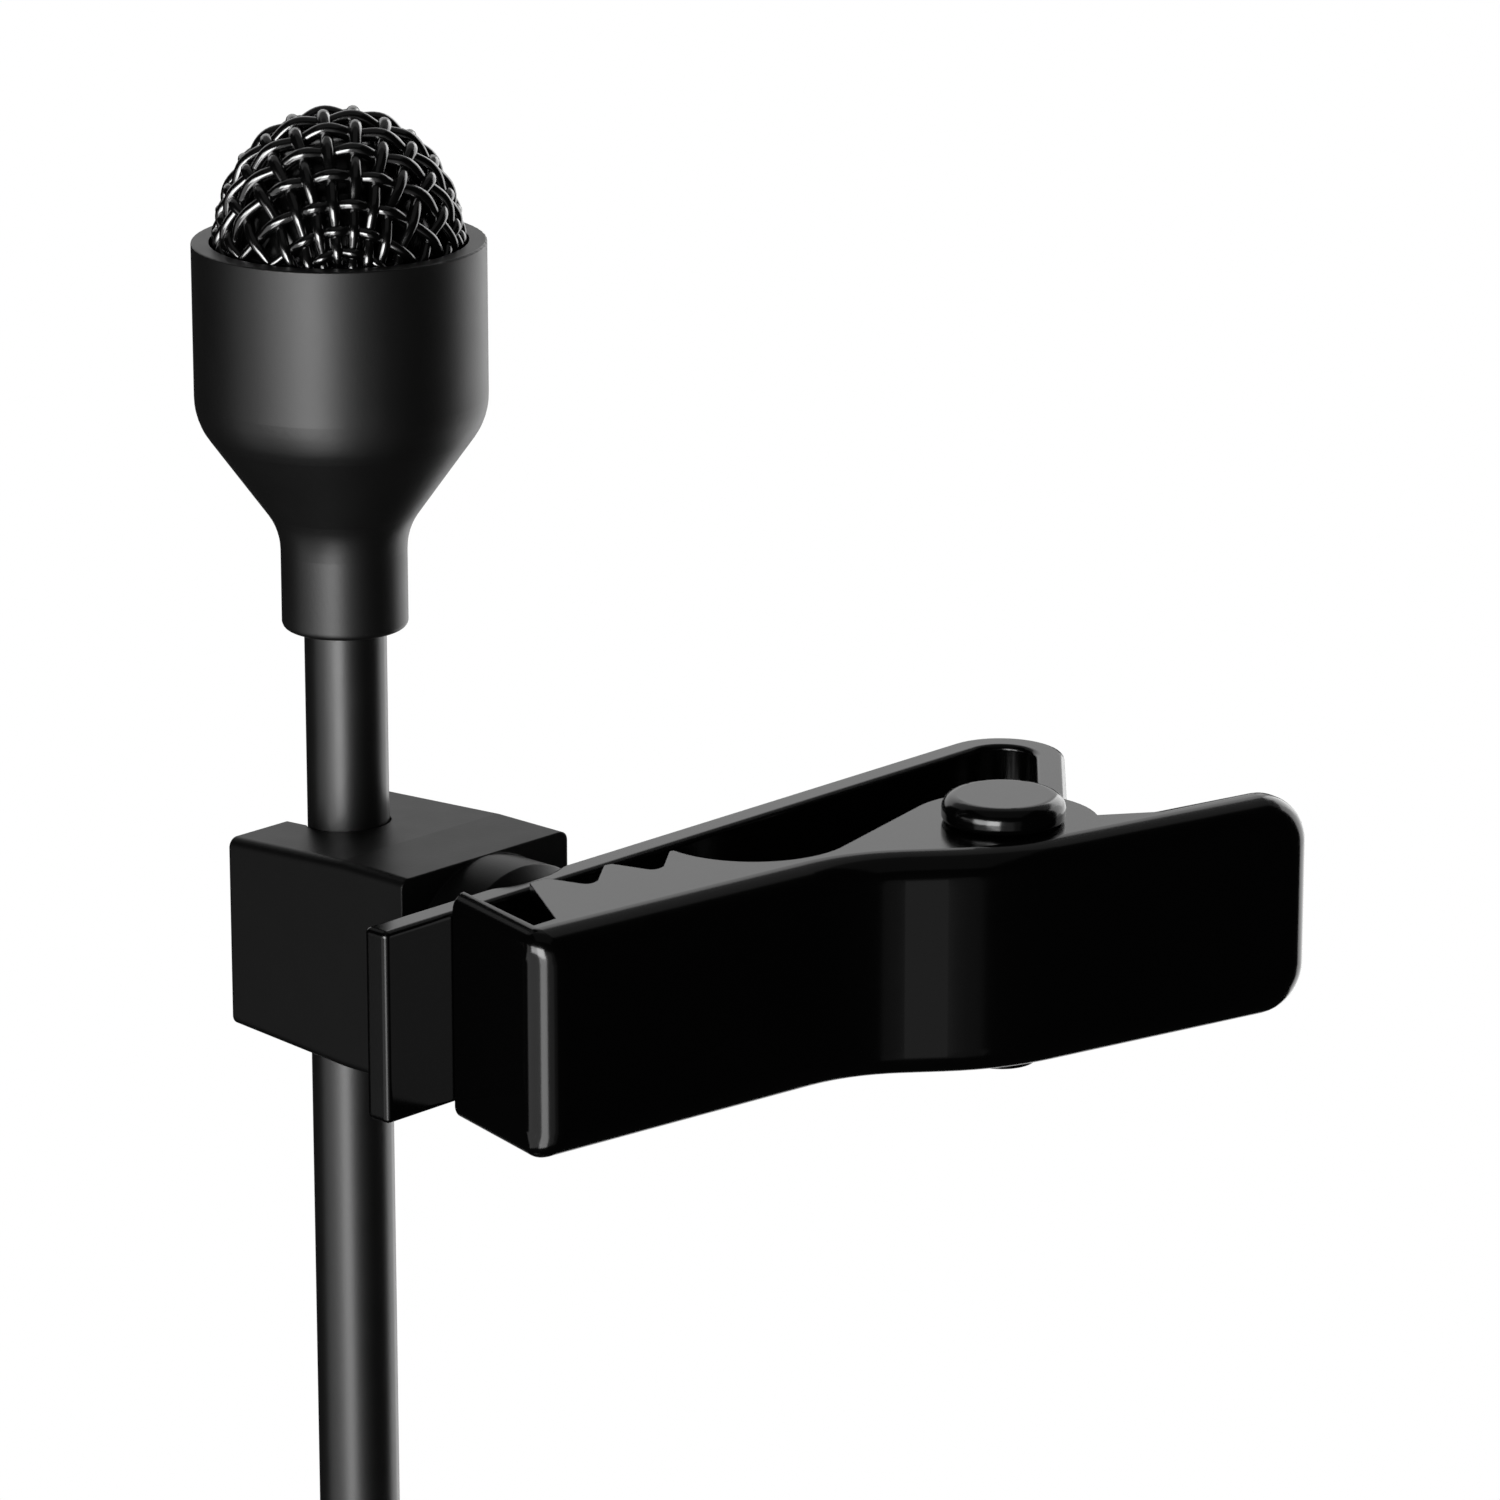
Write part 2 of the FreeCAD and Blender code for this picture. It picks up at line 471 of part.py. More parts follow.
def make_clip_lever():
    along_handle = Rotation(Vector(0, 0, 1), -DIMS["handle_angle"])
    hub = cylinder("hub", "hub_radius", "2 * lever_half", z="-lever_half", angle="hub_sweep",
                   rotation=Rotation(Vector(0, 0, 1), DIMS["hub_from"]), **PIVOT)
    solid = fuse("lever_solid", make_lever_blank(), hub)
    hollow = cylinder("jaw_hollow", "hollow_radius", "2 * lever_half + 2", x="hollow_x", y="hollow_y",
                      z="-lever_half - 1")
    pocket = cylinder("hub_pocket", "pocket_radius", "2 * pocket_half", z="-pocket_half", **PIVOT)
    open_angle = "(arm_angle - pocket_turn)"
    sweep = prism("pocket_sweep", [
        ("pivot_x + pocket_radius * sin%s" % open_angle, "pivot_y - pocket_radius * cos%s" % open_angle),
        ("pivot_x + pocket_radius * sin%s + pocket_reach * cos%s" % (open_angle, open_angle),
         "pivot_y - pocket_radius * cos%s + pocket_reach * sin%s" % (open_angle, open_angle)),
        ("pivot_x + 4", "pivot_y + 6"), ("pivot_x - 2", "pivot_y + 4"),
        ("pivot_x - pocket_radius * cos(30)", "pivot_y + pocket_radius * sin(30)")], "pocket_half")
    groove = box("handle_groove", "spring_leg + leg_clear", "groove_reach", "spring_wire + wire_clear",
                 x="pivot_x - groove_reach * sin(handle_angle)",
                 y="pivot_y - groove_reach * cos(handle_angle)",
                 z="-spring_level - spring_wire / 2 - wire_clear / 2",
                 rotation=along_handle)
    bore = cylinder("lever_pin_bore", "pin_radius + running_gap", "2 * lever_half", z="-lever_half",
                    **PIVOT)
    tools = fuse("lever_tools", jaw_cutter(), hollow, pocket, sweep, groove, bore)
    label(rounded("clip_lever_shape", cut("lever_cut", solid, tools), tooth_rounds()), "clip_lever")


# ---------------------------------------------------------------- cable holder body
def make_cable_holder():
    straight = box("block_straight", "2 * block_half", "block_bend - block_front", "2 * block_front_half",
                   x="-block_half", y="block_front", z="-block_front_half")
    taper = doc.addObject("Part::Wedge", "block_taper")
    for prop, expression in (
            ("Xmin", "-block_half"), ("Xmax", "block_half"),
            ("X2min", "-block_half"), ("X2max", "block_half"),
            ("Ymin", "block_bend"), ("Ymax", "block_back"),
            ("Zmin", "-block_front_half"), ("Zmax", "block_front_half"),
            ("Z2min", "-block_back_half"), ("Z2max", "block_back_half")):
        bind(taper, prop, expression)
    block = fuse("block", straight, taper)
    doc.recompute()
    half, edge_round = DIMS["block_half"], DIMS["block_edge"]

    def along_side(low, high):
        def test(edge, middle):
            spans_y = abs(edge.Vertexes[0].Y - edge.Vertexes[-1].Y) > 1
            return spans_y and abs(abs(middle.x) - half) < 1e-3 and low < middle.y < high
        return test

    softened = rounded("block_softened", block, [
        (along_side(DIMS["block_front"], DIMS["block_bend"]), edge_round, edge_round),
        (along_side(DIMS["block_bend"], DIMS["block_back"]), edge_round, edge_round)])
    boss = cylinder("boss", "boss_radius", "block_front - boss_end + boss_root", y="boss_end",
                    rotation=ALONG_Y)
    nose = cone("boss_nose", "boss_radius - nose_depth", "boss_radius", "nose_depth",
                y="boss_end - nose_depth", rotation=ALONG_Y)
    whole = fuse("holder_whole", softened, boss, nose)
    bore = cylinder("cord_bore", "bore_radius", "2 * block_front_half", y="cord_axis",
                    z="-block_front_half")
    slot = box("cord_slot", "2 * slot_half", "block_back - cord_axis", "2 * block_front_half",
               x="-slot_half", y="cord_axis", z="-block_front_half")
    pin_hole = cylinder("swivel_socket", "swivel_radius", "swivel_reach", rotation=ALONG_Y)
    label(cut("cable_holder_shape", whole, fuse("holder_tools", bore, slot, pin_hole)), "cable_holder")
    head = cylinder("swivel_pin_head", "swivel_head", "swivel_head_depth - swivel_start",
                    y="swivel_start", rotation=ALONG_Y)
    shank = cylinder("swivel_pin_shank", "swivel_radius", "swivel_reach - swivel_start",
                     y="swivel_start", rotation=ALONG_Y)
    label(fuse("swivel_pin_shape", head, shank), "swivel_pin")


# ---------------------------------------------------------------- microphone body: the head
def circle_edge(level, radius):
    """Picks the circular edge at a level with a radius, about the cable's axis."""
    def test(edge, middle):
        reach = math.hypot(middle.x, middle.y - DIMS["cord_axis"])
        return abs(middle.z - level) < 1e-3 and abs(reach - radius) < 1e-3
    return test


def make_housing():
    rim = DIMS["rim_height"]
    wall = "(head_radius - head_wall)"
    floor, neck_floor = "(rim_height - cavity_depth)", "(rim_height - lower_cavity_depth)"
    bush_top = "(rim_height - neck_end + bush_length)"
    housing = turned("housing_turned", [
        (wall, "rim_height"), ("head_radius", "rim_height"), ("head_radius", "rim_height - shoulder"),
        ("neck_radius", "rim_height - cone_end"), ("neck_radius", "rim_height - neck_end"),
        ("bush_seat", "rim_height - neck_end"), ("bush_seat", bush_top), ("neck_bore", bush_top),
        ("neck_bore", neck_floor), ("lower_cavity_radius", neck_floor), ("lower_cavity_radius", floor),
        (wall, floor)])
    rounds = ((rim - DIMS["shoulder"], DIMS["head_radius"], "head_round"),
              (rim - DIMS["cone_end"], DIMS["neck_radius"], "neck_round"),
              (rim - DIMS["neck_end"], DIMS["neck_radius"], "neck_edge"),
              (rim, DIMS["head_radius"], "rim_edge"))
    label(rounded("head_housing_shape", housing, [
        (circle_edge(level, radius), DIMS[size], DIMS[size]) for level, radius, size in rounds]),
        "head_housing")
    label(ring("neck_bush_shape", "bush_seat", "cord_radius", "rim_height - neck_end + bush_recess",
               bush_top), "neck_bush")


def domed_shell(name, radius, wall, low):
    """A hemisphere over the rim with a straight skirt down to a level, both of one wall thickness."""
    solids = []
    for part, size in (("outside", radius), ("inside", "(%s - %s)" % (radius, wall))):
        dome = doc.addObject("Part::Sphere", "%s_%s" % (name, part))
        dome.Angle1 = 0
        bind(dome, "Radius", size)
        place(dome, y="cord_axis", z="rim_height")
        skirt = disc("%s_skirt_%s" % (name, part), size, low, "rim_height")
        solids.append(fuse("%s_%s_whole" % (name, part), dome, skirt))
    return cut(name + "_shell", *solids)


def make_grille():
    """The wire dome, the ring that stiffens its foot, and the domed gauze clamped under it."""
    skirt_low = "(rim_height - screen_drop)"
    inner = "(dome_radius - wire_thick)"
    label(domed_shell("dome", "dome_radius", "wire_thick", skirt_low), "grille_mesh")
    label(ring("grille_ring_shape", inner, "(dome_radius - wire_thick - grille_ring_wall)", skirt_low,
               skirt_low + " + grille_ring_height"), "grille_ring")
    flange = ring("gauze_flange", "head_radius - head_wall - boot_gap", "screen_radius - screen_thick",
                  skirt_low + " - screen_thick", skirt_low)
    cap = domed_shell("gauze", "screen_radius", "screen_thick", skirt_low)
    label(fuse("dust_screen_shape", cap, flange), "dust_screen")


def make_capsule():
    """The electret capsule, from its front plate down to the board and its leads."""
    top = "(rim_height - capsule_drop)"
    bottom = "(rim_height - capsule_drop - capsule_height)"
    inside = "(capsule_radius - can_wall)"
    film_ring_top = "(rim_height - capsule_drop - can_wall)"
    film_top = "(rim_height - capsule_drop - can_wall - film_ring)"
    spacer_top = "(rim_height - capsule_drop - can_wall - film_ring - film_thick)"
    stack_top = "(rim_height - capsule_drop - can_wall - film_ring - film_thick - spacer_thick)"
    disc_low = "(rim_height - capsule_drop - can_wall - film_ring - film_thick - spacer_thick - plate_disc)"
    board_top = "(rim_height - capsule_drop - capsule_height + board_thick)"

    def spread_holes(prefix, count, radius, circle, low, high):
        holes = []
        for i in range(count):
            turn = 360 * i / count
            holes.append(cylinder("%s_%d" % (prefix, i), radius, "(%s) - (%s)" % (high, low),
                                  x="%s * cos(%g)" % (circle, turn),
                                  y="cord_axis + %s * sin(%g)" % (circle, turn), z=low))
        return holes

    cup = turned("can_turned", [
        ("0", top), ("capsule_radius", top), ("capsule_radius", bottom), (inside, bottom),
        (inside, film_ring_top), ("0", film_ring_top)])
    ports = fuse("can_ports", *spread_holes("port", 6, "port_radius", "port_circle", film_ring_top, top))
    label(cut("capsule_can_shape", cup, ports), "capsule_can")
    hoop_inside = inside + " - hoop_wall"
    label(disc("capsule_felt_shape", "capsule_radius - felt_inset", top, top + " + felt_thick"),
          "capsule_felt")
    label(ring("diaphragm_ring_shape", inside, hoop_inside, film_top, film_ring_top), "diaphragm_ring")
    label(disc("diaphragm_shape", inside, spacer_top, film_top), "diaphragm")
    label(ring("spacer_ring_shape", inside, hoop_inside, stack_top, spacer_top), "spacer_ring")
    vents = fuse("plate_vents", *spread_holes("vent", 4, "vent_radius", "vent_circle", disc_low, stack_top))
    back_plate_blank = disc("back_plate_blank", "plate_disc_radius", disc_low, stack_top)
    label(cut("back_plate_shape", back_plate_blank, vents), "back_plate")
    label(ring("plate_holder_shape", inside, "plate_disc_radius", board_top, stack_top), "plate_holder")
    label(ring("gate_ring_shape", "(plate_disc_radius - gate_inset)",
               "(plate_disc_radius - gate_inset - gate_wall)", board_top, disc_low), "gate_ring")
    label(disc("capsule_board_shape", inside, bottom, board_top), "capsule_board")
    label(box("fet_chip_shape", "chip_length", "chip_width", "chip_height", x="-chip_length / 2",
              y="cord_axis - chip_width / 2", z=board_top), "fet_chip")
    pads, leads = [], []
    for side in (-1, 1):
        spot = "%d * pad_offset" % side
        pads.append(cone("pad_%d" % (side + 1), "lead_radius", "pad_radius", "pad_height", x=spot,
                         y="cord_axis", z=bottom + " - pad_height"))
        leads.append(cylinder("lead_%d" % (side + 1), "lead_radius", bottom + " - pad_height - cord_top",
                              x=spot, y="cord_axis", z="cord_top"))
    joints = doc.addObject("Part::Compound", "solder_joints_shape")
    joints.Links = pads
    label(joints, "solder_joints")
    label(leads[0], "hot_lead")
    label(leads[1], "ground_lead")
    label(ring("capsule_boot_shape", "(head_radius - head_wall - boot_gap)", "(capsule_radius + boot_gap)",
               "rim_height - cavity_depth", "(rim_height - screen_drop - screen_thick - boot_gap)"),
          "capsule_boot")


# ---------------------------------------------------------------- microphone body: cable, coil and plug
def tube(points, radius):
    """A round tube along straight runs joined by tangent arcs as large as the runs allow."""
    edges, start = [], points[0]
    for before, corner, after in zip(points, points[1:], points[2:]):
        arrive, leave = (corner - before), (after - corner)
        turn = arrive.getAngle(leave)
        setback = 0.45 * min(arrive.Length, leave.Length)
        arrive.normalize()
        leave.normalize()
        bend = setback / math.tan(turn / 2)
        first, last = corner - arrive * setback, corner + leave * setback
        inward = (leave - arrive).normalize()
        middle = corner + inward * (bend / math.cos(turn / 2) - bend)
        print("cord bend: radius %.1f mm, turn %.0f degrees" % (bend, math.degrees(turn)))
        edges += [Part.LineSegment(start, first), Part.Arc(first, middle, last)]
        start = last
    edges.append(Part.LineSegment(start, points[-1]))
    path = Part.Wire([edge.toShape() for edge in edges])
    mouth = Part.Wire(Part.makeCircle(radius, points[0], points[1] - points[0]))
    solid = path.makePipeShell([mouth], True, False)
    print("cord tube: length %.2f mm, volume %.3f of section times length"
          % (path.Length, solid.Volume / (math.pi * radius ** 2 * path.Length)))
    return solid


def coil_entry():
    """Where the lead-in touches the coil's outermost turn."""
    reach = DIMS["bend_z"] - DIMS["coil_z"]
    angle = math.acos(COIL_OUTER / reach)
    return Vector(COIL_OUTER * math.sin(angle), DIMS["cord_axis"],
                  DIMS["coil_z"] + COIL_OUTER * math.cos(angle))


def make_cable():
    axis, radius = DIMS["cord_axis"], DIMS["cord_radius"]
    cable = doc.addObject("Part::Feature", "cable_shape")
    cable.Shape = tube([Vector(0, axis, DIMS["cord_top"]), Vector(0, axis, DIMS["bend_z"]), coil_entry()],
                       radius)
    label(cable, "cable")
    label(ring("cable_ferrule_shape", "(cord_radius + ferrule_wall)", "cord_radius",
               "ferrule_top - ferrule_length", "ferrule_top"), "cable_ferrule")
    side = DIMS["coil_inner"]
    last_column = axis + CORD_PITCH * (DIMS["coil_columns"] - 1) / 2
    tail = doc.addObject("Part::Feature", "cable_tail_shape")
    tail.Shape = tube([Vector(side, last_column, 2 * DIMS["coil_z"] - DIMS["tail_lean_z"]),
                       Vector(side, DIMS["tail_y"], DIMS["tail_lean_z"]),
                       Vector(side, DIMS["tail_y"], DIMS["tail_end"])], radius)
    label(tail, "cable_tail")


def make_coil():
    """The put-away cable: a neat round coil of three rows and four columns, held by a tie at its top."""
    half_width = "(coil_columns * cord_radius)"
    outside = cylinder("coil_outside", "coil_inner + 2 * cord_radius * (coil_rows - 1) + cord_radius",
                       "2 * %s" % half_width, y="cord_axis - %s" % half_width, z="coil_z", rotation=ALONG_Y)
    inside = cylinder("coil_inside", "coil_inner - cord_radius", "2 * %s" % half_width,
                      y="cord_axis - %s" % half_width, z="coil_z", rotation=ALONG_Y)
    ring_shape = cut("coil_ring", outside, inside)
    label(rounded("cable_coil_shape", ring_shape, [
        (lambda edge, middle: edge.Length > 50, DIMS["coil_edge"], DIMS["coil_edge"])]), "cable_coil")
    low = "(coil_z + coil_inner - cord_radius - tie_droop)"
    high = "(coil_z + coil_inner + 2 * cord_radius * (coil_rows - 1) + cord_radius - tie_slack)"
    strap = box("tie_outside", "tie_width", "2 * (%s + tie_thick)" % half_width,
                "%s - %s + 2 * tie_thick" % (high, low), x="-tie_width / 2",
                y="cord_axis - %s - tie_thick" % half_width, z=low + " - tie_thick")
    hole = box("tie_inside", "tie_width", "2 * (%s - tie_slack)" % half_width, "%s - %s" % (high, low),
               x="-tie_width / 2", y="cord_axis - %s + tie_slack" % half_width, z=low)
    label(cut("coil_tie_shape", strap, hole), "coil_tie")


def make_plug():
    """A straight three-contact plug, 3.5 mm across, its tip pointing down."""
    spot = {"x": "coil_inner", "y": "tail_y"}

    def stack(name, points):
        body = turned(name, points)
        return place(body, **spot)

    body_top = "(tail_end - relief_length)"
    body_low = "(tail_end - relief_length - plug_length)"
    core_top = "(tail_end - relief_length - plug_length + core_foot)"
    levels = [body_low]
    for length in ("sleeve_length", "insulator_length", "ring_length", "insulator_length", "tip_length"):
        levels.append("(%s - %s)" % (levels[-1], length))
    label(stack("plug_relief_shape", [("0", "tail_end"), ("relief_small", "tail_end"),
                                      ("relief_large", body_top), ("0", body_top)]), "plug_relief")
    shell = stack("plug_shell", [("0", body_top), ("plug_radius", body_top), ("plug_radius", body_low),
                                 ("core_radius", body_low), ("core_radius", core_top), ("0", core_top)])
    label(rounded("plug_body_shape", shell, [
        (lambda edge, middle: edge.Length > 20, DIMS["plug_edge"], DIMS["plug_edge"])]), "plug_body")

    def contact(name, index, inner="core_radius"):
        return stack(name, [(inner, levels[index]), ("jack_radius", levels[index]),
                            ("jack_radius", levels[index + 1]), (inner, levels[index + 1])])

    label(contact("plug_sleeve_shape", 0), "plug_sleeve")
    label(contact("plug_ring_shape", 2), "plug_ring")
    insulators = doc.addObject("Part::Compound", "plug_insulators_shape")
    insulators.Links = [contact("insulator_high", 1), contact("insulator_low", 3)]
    label(insulators, "plug_insulators")
    core_low = levels[4] + " - core_head"
    label(stack("plug_tip_shape", [
        ("0", core_low), ("core_radius", core_low), ("core_radius", levels[4]),
        ("jack_radius", levels[4]), ("tip_neck", levels[4] + " - tip_root"),
        ("jack_radius - tip_bulge_inset", levels[4] + " - tip_bulge"), ("tip_point", levels[5]),
        ("0", levels[5])]), "plug_tip")
    label(stack("plug_core_shape", [("0", core_top), ("core_radius", core_top),
                                    ("core_radius", core_low), ("0", core_low)]), "plug_core")


# ---------------------------------------------------------------- build, check and write
make_clip_frame()
make_pivot_pin()
make_spring()
make_swivel_washer()
make_clip_lever()
make_cable_holder()
make_housing()
make_grille()
make_capsule()
make_cable()
make_coil()
make_plug()
doc.recompute()

for item in doc.Objects:
    if "Invalid" in item.State or "Error" in item.State:
        raise SystemExit("failed feature: " + item.Name)

os.makedirs("parts", exist_ok=True)
for solid in NODES:
    if solid.Shape.isNull() or not solid.Shape.isValid():
        raise SystemExit("bad shape: " + solid.Label)
    solid.Shape.exportStep("parts/%s.step" % solid.Label)
    bounds = solid.Shape.BoundBox
    print("%-16s %8.2f mm3  x %.2f..%.2f  y %.2f..%.2f  z %.2f..%.2f  solids %d"
          % (solid.Label, solid.Shape.Volume, bounds.XMin, bounds.XMax, bounds.YMin, bounds.YMax,
             bounds.ZMin, bounds.ZMax, len(solid.Shape.Solids)))
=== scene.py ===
"""Looks of the lavalier microphone: camera, light, materials, woven dome, cord and small detail pieces.

Lengths are written in millimetres through MM and placed in the CAD's own frame.
"""
import json
import math

import bmesh
import bpy
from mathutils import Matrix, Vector


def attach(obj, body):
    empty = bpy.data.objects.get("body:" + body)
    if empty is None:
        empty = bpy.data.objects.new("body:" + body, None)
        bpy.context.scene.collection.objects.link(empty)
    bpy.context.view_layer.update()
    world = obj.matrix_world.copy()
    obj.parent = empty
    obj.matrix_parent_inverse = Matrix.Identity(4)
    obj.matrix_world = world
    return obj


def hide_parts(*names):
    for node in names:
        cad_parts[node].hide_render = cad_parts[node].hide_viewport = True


MM = 0.001
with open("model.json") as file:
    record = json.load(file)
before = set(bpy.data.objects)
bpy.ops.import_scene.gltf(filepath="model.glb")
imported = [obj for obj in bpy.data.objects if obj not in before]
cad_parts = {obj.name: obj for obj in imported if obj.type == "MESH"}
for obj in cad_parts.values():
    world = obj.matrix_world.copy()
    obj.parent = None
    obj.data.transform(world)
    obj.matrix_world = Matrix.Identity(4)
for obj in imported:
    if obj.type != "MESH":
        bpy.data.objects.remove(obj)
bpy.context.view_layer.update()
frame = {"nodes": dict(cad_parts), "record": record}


def mm(x, y, z):
    return Vector((x * MM, y * MM, z * MM))


# ---------------------------------------------------------------- camera
CAMERA_AZIMUTH = math.radians(46.8)
CAMERA_PITCH = math.radians(16.6)
CAMERA_PLACE = (-163.71, -163.10, 76.88)
CAMERA_LENS = 172.8


def direction(azimuth_deg, elevation_deg):
    """A unit vector from the object, turned left of the camera's side by the azimuth, at an elevation."""
    azimuth = CAMERA_AZIMUTH + math.radians(azimuth_deg)
    elevation = math.radians(elevation_deg)
    return Vector((-math.sin(azimuth) * math.cos(elevation), -math.cos(azimuth) * math.cos(elevation),
                   math.sin(elevation)))


camera_data = bpy.data.cameras.new("camera")
camera_data.lens = CAMERA_LENS
camera_data.sensor_width = 36.0
camera_data.clip_start = 0.01
camera_data.clip_end = 20.0
camera = bpy.data.objects.new("camera", camera_data)
bpy.context.collection.objects.link(camera)
camera.location = mm(*CAMERA_PLACE)
camera.rotation_mode = "QUATERNION"
looking = Vector((math.sin(CAMERA_AZIMUTH) * math.cos(CAMERA_PITCH),
                  math.cos(CAMERA_AZIMUTH) * math.cos(CAMERA_PITCH), -math.sin(CAMERA_PITCH)))
camera.rotation_quaternion = looking.to_track_quat("-Z", "Y")
bpy.context.scene.camera = camera
bpy.context.scene.view_settings.view_transform = "Standard"


# ---------------------------------------------------------------- light and floor
def emission(name, strength):
    """A material that only shines, in white."""
    material = bpy.data.materials.new(name)
    material.use_nodes = True
    nodes = material.node_tree.nodes
    nodes.clear()
    shine = nodes.new("ShaderNodeEmission")
    shine.inputs["Color"].default_value = (1.0, 1.0, 1.0, 1.0)
    shine.inputs["Strength"].default_value = strength
    output = nodes.new("ShaderNodeOutputMaterial")
    material.node_tree.links.new(shine.outputs["Emission"], output.inputs["Surface"])
    return material


TARGET = mm(3, 2, 4)        # the point that every softbox faces
SOFT_BOXES = (              # name, azimuths from and to, elevations from and to, distance in metres, radiance
    ("key_high", (7, 31), (-12, 16), 0.6, 13.0),
    ("key_low", (7, 31), (-50, -12), 0.62, 4.4),
    ("wing_left", (31, 86), (-45, 10), 0.65, 0.75),
    ("wing_right", (-18, 7), (-45, 10), 0.65, 0.24),
    ("wing_right_faint", (-30, 7), (-50, 15), 0.66, 0.1),
    ("right_rim", (-165, -112), (-35, 35), 0.7, 2.0),
    ("left_shoulder", (31, 55), (-8, 16), 0.6, 7.5),
    ("backdrop", (138, 222), (4, 36), 1.2, 0.95),
    ("ceiling_back", (135, 225), (36, 70), 1.0, 0.2),
    ("ceiling", (150, 210), (70, 130), 0.9, 0.07),
    ("floor_glow", (168, 192), (-40, -8), 0.9, 0.8),
)
ROOM_GREY = 0.006           # what the dark room adds to every reflection
FLOOR_SIZE, FLOOR_LEVEL = 8.0, -0.135


def soft_box(name, azimuths, elevations, distance, radiance):
    """A rectangular softbox that faces the object, sized by its span in azimuth and elevation."""
    light_data = bpy.data.lights.new(name, "AREA")
    light_data.shape = "RECTANGLE"
    light_data.size = 2 * distance * math.tan(math.radians(azimuths[1] - azimuths[0]) / 2)
    light_data.size_y = 2 * distance * math.tan(math.radians(elevations[1] - elevations[0]) / 2)
    light_data.energy = radiance * math.pi * light_data.size * light_data.size_y
    light = bpy.data.objects.new(name, light_data)
    bpy.context.collection.objects.link(light)
    away = direction(sum(azimuths) / 2, sum(elevations) / 2)
    light.location = TARGET + away * distance
    light.rotation_mode = "QUATERNION"
    light.rotation_quaternion = away.to_track_quat("Z", "Y")
    light.visible_camera = False


for soft_box_row in SOFT_BOXES:
    soft_box(*soft_box_row)

world = bpy.data.worlds.new("world")
bpy.context.scene.world = world
world.use_nodes = True
world_nodes = world.node_tree.nodes
world_links = world.node_tree.links
background = world_nodes["Background"]
background.inputs["Color"].default_value = (ROOM_GREY, ROOM_GREY, ROOM_GREY, 1.0)
white = world_nodes.new("ShaderNodeBackground")
white.inputs["Color"].default_value = (1.0, 1.0, 1.0, 1.0)
path = world_nodes.new("ShaderNodeLightPath")
choose = world_nodes.new("ShaderNodeMixShader")
world_links.new(path.outputs["Is Camera Ray"], choose.inputs["Fac"])
world_links.new(background.outputs["Background"], choose.inputs[1])
world_links.new(white.outputs["Background"], choose.inputs[2])
world_links.new(choose.outputs["Shader"], world_nodes["World Output"].inputs["Surface"])

bpy.ops.mesh.primitive_plane_add(size=FLOOR_SIZE, location=(0, 0, FLOOR_LEVEL))
floor = bpy.context.object
floor.name = "floor"
floor.data.materials.append(emission("floor_white", 1.0))
floor.visible_glossy = False
floor.visible_diffuse = False
floor.visible_shadow = False


# ---------------------------------------------------------------- materials
BEVEL_SAMPLES = 6
MOTTLING_DETAIL, GRAIN_DETAIL = 4.0, 3.0


def noise(nodes, links, place, scale, detail):
    """A noise texture in the piece's own coordinates."""
    texture = nodes.new("ShaderNodeTexNoise")
    texture.inputs["Scale"].default_value = scale
    texture.inputs["Detail"].default_value = detail
    links.new(place.outputs["Object"], texture.inputs["Vector"])
    return texture


def surface(name, colour, roughness, metallic=0.0, ior=1.46, grain=None, mottling=None, sheen=0.0, edge=None):
    """A principled material whose roughness varies a little and whose surface has a fine grain.

    mottling is how far the roughness varies and the scale of its noise. grain is the strength, the scale and
    the depth in metres of the fine bumps. edge is the radius, in millimetres, to which sharp edges are
    softened in the shading.
    """
    material = bpy.data.materials.new(name)
    material.use_nodes = True
    nodes, links = material.node_tree.nodes, material.node_tree.links
    shader = nodes["Principled BSDF"]
    shader.inputs["Base Color"].default_value = (*colour, 1.0)
    shader.inputs["Metallic"].default_value = metallic
    shader.inputs["Roughness"].default_value = roughness
    shader.inputs["IOR"].default_value = ior
    shader.inputs["Sheen Weight"].default_value = sheen
    place = nodes.new("ShaderNodeTexCoord")
    if mottling:
        spread, scale = mottling
        limits = nodes.new("ShaderNodeMapRange")
        limits.inputs["To Min"].default_value = roughness - spread
        limits.inputs["To Max"].default_value = roughness + spread
        links.new(noise(nodes, links, place, scale, MOTTLING_DETAIL).outputs["Fac"], limits.inputs["Value"])
        links.new(limits.outputs["Result"], shader.inputs["Roughness"])
    normal = None
    if edge:
        bevel = nodes.new("ShaderNodeBevel")
        bevel.samples = BEVEL_SAMPLES
        bevel.inputs["Radius"].default_value = edge * MM
        normal = bevel.outputs["Normal"]
    if grain:
        strength, scale, depth = grain
        bump = nodes.new("ShaderNodeBump")
        bump.inputs["Strength"].default_value = strength
        bump.inputs["Distance"].default_value = depth
        links.new(noise(nodes, links, place, scale, GRAIN_DETAIL).outputs["Fac"], bump.inputs["Height"])
        if normal:
            links.new(normal, bump.inputs["Normal"])
        normal = bump.outputs["Normal"]
    if normal:
        links.new(normal, shader.inputs["Normal"])
    return material


